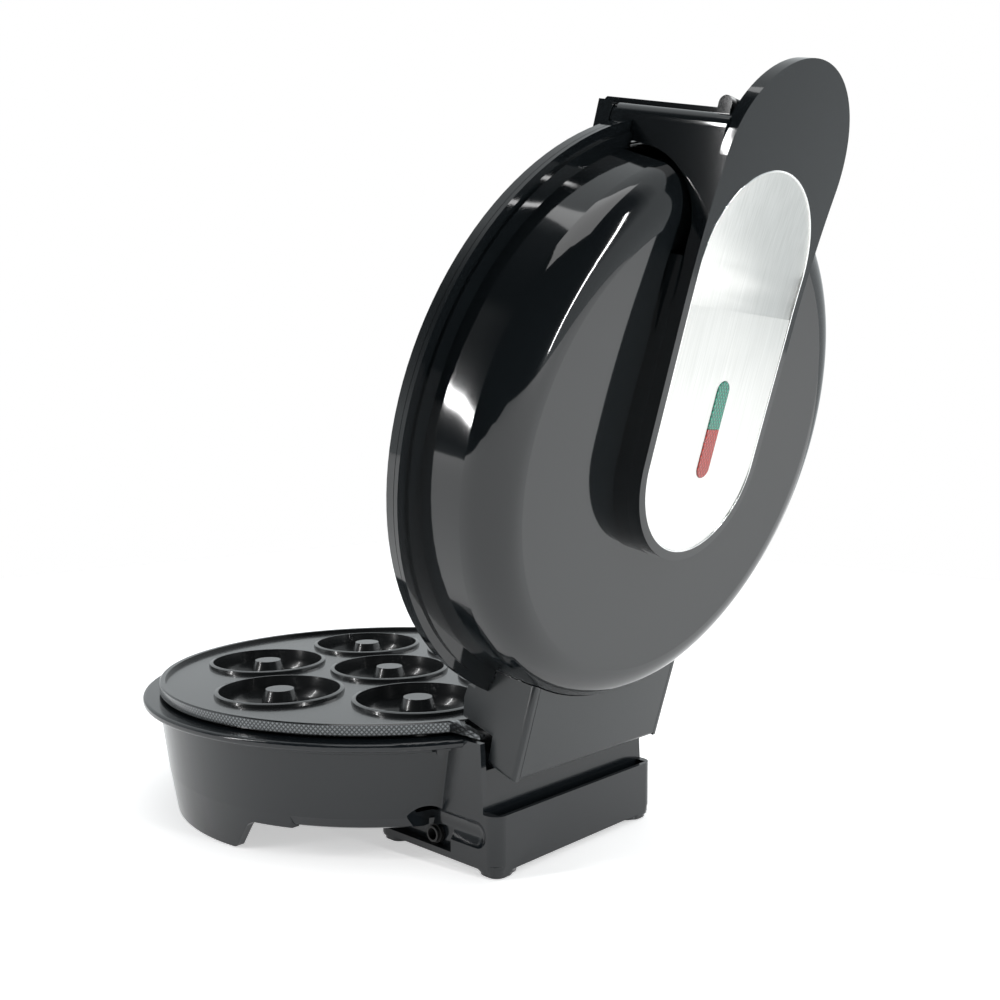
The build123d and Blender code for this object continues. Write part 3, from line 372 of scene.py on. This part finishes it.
NODE_FINISHES: dict[str, Finish] = {
    "base_housing": BASE_SATIN,
    "bottom_cover": BASE_SATIN,
    "foot_plate": BASE_SATIN,
    "lid_shell": LID_GLOSS,
    "lid_bezel": LID_GLOSS,
    "handle": LID_GLOSS,
    "latch_flap": LID_GLOSS,
    "hinge_bracket": BRACKET_SATIN,
    "hinge_cover": BRACKET_SATIN,
    "lower_plate": NON_STICK,
    "upper_plate": NON_STICK,
    "fascia_plate": FASCIA_STEEL,
    "ready_lens": GREEN_LENS,
    "power_lens": RED_LENS,
    "lower_heater": HEATER_STEEL,
    "upper_heater": HEATER_STEEL,
    "lower_reflector": REFLECTOR,
    "upper_reflector": REFLECTOR,
    "thermostat": REFLECTOR,
    "terminal_block": NYLON,
    "lamp_holder": NYLON,
    "cord_gland": RUBBER,
    "thermal_fuse": BRASS,
    "neon_lamps": LAMP_GLASS,
}


@dataclass
class Dresser:
    """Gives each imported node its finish."""

    nodes: dict[str, bpy.types.Object]
    made: dict[str, bpy.types.Material] = field(default_factory=dict)

    def material(self, finish: Finish) -> bpy.types.Material:
        """Make a finish's material once.

        Args:
            finish: The finish.

        Returns:
            Its material.
        """
        if finish.name not in self.made:
            self.made[finish.name] = finish.make()
        return self.made[finish.name]

    def dress(self, piece: bpy.types.Object, finish: Finish) -> None:
        """Put a finish on a piece.

        Args:
            piece: Mesh object.
            finish: Its finish.
        """
        piece.data.materials.clear()
        piece.data.materials.append(self.material(finish))

    def round_edges(self, piece: bpy.types.Object, width_mm: float) -> None:
        """Round a piece's sharp edges a little, so that they catch the light.

        Args:
            piece: Mesh object.
            width_mm: Width of the round.
        """
        weld = piece.modifiers.new("meet", "WELD")
        weld.merge_threshold = WELD_DISTANCE
        bevel = piece.modifiers.new("edge_round", "BEVEL")
        bevel.width = width_mm * MM
        bevel.segments = 2
        bevel.limit_method = "ANGLE"
        bevel.angle_limit = EDGE_ANGLE
        bevel.harden_normals = True
        bevel.use_clamp_overlap = True

    def dress_nodes(self) -> None:
        """Put a finish on every node, and round the edges of the outer ones."""
        for name, node in self.nodes.items():
            self.dress(node, NODE_FINISHES.get(name, SCREW_STEEL))
            if name in EDGE_ROUNDS_MM:
                self.round_edges(node, EDGE_ROUNDS_MM[name])
            log.info("node %s dressed", name)


@dataclass
class FasciaRim:
    """Polished bead round the edge of the steel fascia, which follows the handle's curl."""

    half_mm: float = 31.9
    front_mm: float = -64.0
    back_mm: float = 3.0
    level_mm: float = 41.05
    bead_mm: float = 0.32
    curl_from_mm: float = -50.0
    curl_radius_mm: float = 530.0
    hinge_back_mm: float = 104.05
    hinge_rise_mm: float = 6.0
    hinge_height_mm: float = 61.7
    ring_points: int = 128
    side_cuts: int = 30
    # Only the two straight sides are longer than this once the ring is pulled apart.
    long_edge_mm: float = 10

    def build(self, dresser: Dresser) -> bpy.types.Object:
        """Bend a ring into the fascia's outline and give it a round section.

        Args:
            dresser: Holder of the finishes.

        Returns:
            The finished bead, riding on the lid.
        """
        bpy.ops.object.select_all(action="DESELECT")
        bpy.ops.mesh.primitive_circle_add(vertices=self.ring_points, radius=self.half_mm * MM)
        bead = bpy.context.object
        bead.name = "fascia_rim"
        bpy.ops.object.mode_set(mode="EDIT")
        bpy.ops.mesh.select_all(action="DESELECT")
        bpy.ops.object.mode_set(mode="OBJECT")
        for vertex in bead.data.vertices:
            vertex.select = vertex.co.y > WELD_DISTANCE
        bpy.ops.object.mode_set(mode="EDIT")
        bpy.ops.transform.translate(value=(0, (self.back_mm - self.front_mm) * MM, 0))
        bpy.ops.mesh.select_all(action="DESELECT")
        bpy.ops.object.mode_set(mode="OBJECT")
        points = bead.data.vertices
        for edge in bead.data.edges:
            first, second = (points[i].co for i in edge.vertices)
            edge.select = (first - second).length > self.long_edge_mm * MM
        bpy.ops.object.mode_set(mode="EDIT")
        bpy.ops.mesh.select_mode(type="EDGE")
        bpy.ops.mesh.subdivide(number_cuts=self.side_cuts)
        bpy.ops.object.mode_set(mode="OBJECT")
        for vertex in bead.data.vertices:
            vertex.co.y += self.front_mm * MM
            ahead = max(0.0, self.curl_from_mm * MM - vertex.co.y)
            vertex.co.z = self.level_mm * MM + ahead**2 / (2 * self.curl_radius_mm * MM)
        bpy.ops.object.convert(target="CURVE")
        bead = bpy.context.object
        bead.data.bevel_depth = self.bead_mm * MM
        bead.data.bevel_resolution = 3
        bpy.ops.object.convert(target="MESH")
        bead = bpy.context.object
        to_hinge = Matrix.Translation((0, -self.hinge_back_mm * MM, -self.hinge_rise_mm * MM))
        home = Matrix.Translation((0, PLATE_AXIS_Y + self.hinge_back_mm * MM, self.hinge_height_mm * MM))
        bead.data.transform(home @ Matrix.Rotation(-LID_TURN, 4, "X") @ to_hinge)
        bpy.ops.object.shade_smooth()
        dresser.dress(bead, RIM_STEEL)
        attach(bead, "lid")
        return bead


@dataclass
class Studio:
    """Floor, soft lights and camera."""

    camera_mm: tuple[float, float, float] = (318.66, 316.8, 159.06)
    azimuth_deg: float = 43.19
    down_deg: float = 3.444
    focal_mm: float = 38.616
    sensor_mm: float = 36.0
    floor_side: float = 1.8
    floor_drop: float = 0.0004
    floor_glow: float = 0.5
    aim_at: tuple[float, float, float] = (0, 0.02, 0.12)
    # Direction of the dark open side, and the cosines between which it darkens.
    open_toward: tuple[float, float, float] = (0.83, 0.45, 0.33)
    open_from: float = 0.25
    open_to: float = 0.62

    def floor(self) -> None:
        """Lay a flat, pale floor that glows a little."""
        bpy.ops.object.select_all(action="DESELECT")
        bpy.ops.mesh.primitive_plane_add(size=self.floor_side, location=(0, 0, -self.floor_drop))
        plane = bpy.context.object
        plane.name = "studio_floor"
        material = bpy.data.materials.new("matte_paper_sweep")
        material.use_nodes = True
        shader = material.node_tree.nodes["Principled BSDF"]
        shader.inputs["Base Color"].default_value = linear("#fbfbfb")
        shader.inputs["Roughness"].default_value = 0.9
        shader.inputs["Specular IOR Level"].default_value = 0.1
        shader.inputs["Emission Color"].default_value = linear("#ffffff")
        shader.inputs["Emission Strength"].default_value = self.floor_glow
        plane.data.materials.append(material)

    def area(
        self, name: str, at: tuple[float, float, float], size: tuple[float, float], watts: float
    ) -> None:
        """Hang one rectangular soft light aimed at the machine.

        Args:
            name: Light's name.
            at: Its place in metres.
            size: Width and height in metres.
            watts: Its power.
        """
        data = bpy.data.lights.new(name, "AREA")
        data.shape = "RECTANGLE"
        data.size, data.size_y = size
        data.energy = watts
        light = bpy.data.objects.new(name, data)
        light.location = at
        aim = Vector(self.aim_at) - Vector(at)
        light.rotation_mode = "QUATERNION"
        light.rotation_quaternion = aim.to_track_quat("-Z", "Y")
        bpy.context.scene.collection.objects.link(light)

    def lights(self) -> None:
        """Set the white world and the soft boxes."""
        world = bpy.data.worlds.new("white_studio")
        bpy.context.scene.world = world
        world.use_nodes = True
        tree = world.node_tree
        background = tree.nodes["Background"]
        place = add_node(tree, "ShaderNodeTexCoord").outputs["Generated"]
        # white walls all round, but the side that the camera stands on is left dark
        toward = add_node(
            tree, "ShaderNodeVectorMath", {0: place, 1: self.open_toward}, operation="DOT_PRODUCT"
        ).outputs["Value"]
        open_side = add_node(
            tree,
            "ShaderNodeMapRange",
            {"Value": toward, "From Min": self.open_from, "From Max": self.open_to},
        )
        ramp = add_node(tree, "ShaderNodeValToRGB", {"Fac": open_side.outputs["Result"]})
        ramp.color_ramp.elements[0].color = linear("#dbe0e2")
        ramp.color_ramp.elements[1].color = linear("#0a0b0c")
        middle = ramp.color_ramp.elements.new(0.45)
        middle.color = linear("#4a4d50")
        seen = add_node(tree, "ShaderNodeLightPath").outputs["Is Camera Ray"]
        shown = add_node(
            tree,
            "ShaderNodeMix",
            {0: seen, 6: ramp.outputs["Color"], 7: linear("#ffffff")},
            data_type="RGBA",
        )
        tree.links.new(shown.outputs[2], background.inputs["Color"])
        background.inputs["Strength"].default_value = 1.0
        self.area("top_softbox", (0.35, 0.25, 1.6), (0.9, 0.9), 6)
        self.area("side_strip", (1.15, -0.50, 0.55), (0.035, 1.1), 7)
        self.area("back_strip", (-0.07, 1.15, 0.50), (0.035, 1.1), 7)
        self.area("left_softbox", (-1.2, 0.3, 0.9), (0.8, 0.8), 4)

    def camera(self) -> None:
        """Stand the camera behind and to the right of the machine."""
        data = bpy.data.cameras.new("product_camera")
        data.lens = self.focal_mm
        data.sensor_width = self.sensor_mm
        camera = bpy.data.objects.new("product_camera", data)
        turn, drop = math.radians(self.azimuth_deg), math.radians(self.down_deg)
        level = math.cos(drop)
        forward = Vector((-math.cos(turn) * level, -math.sin(turn) * level, -math.sin(drop)))
        camera.rotation_mode = "QUATERNION"
        camera.rotation_quaternion = forward.to_track_quat("-Z", "Y")
        camera.location = Vector(self.camera_mm) * MM
        bpy.context.scene.collection.objects.link(camera)
        bpy.context.scene.camera = camera

    def build(self) -> None:
        """Make the whole studio."""
        self.floor()
        self.lights()
        self.camera()
        bpy.context.scene.view_settings.view_transform = "Standard"


def main() -> None:
    """Load the frame, dress it and set up the studio."""
    logging.basicConfig(level=logging.INFO, format="%(message)s")
    for stray in list(bpy.data.objects):
        bpy.data.objects.remove(stray)
    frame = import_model()
    bpy.ops.object.select_all(action="DESELECT")
    Studio().build()
    dresser = Dresser(frame["nodes"])
    dresser.dress_nodes()
    log.info("piece %s built", FasciaRim().build(dresser).name)


if __name__ == "__main__":
    main()
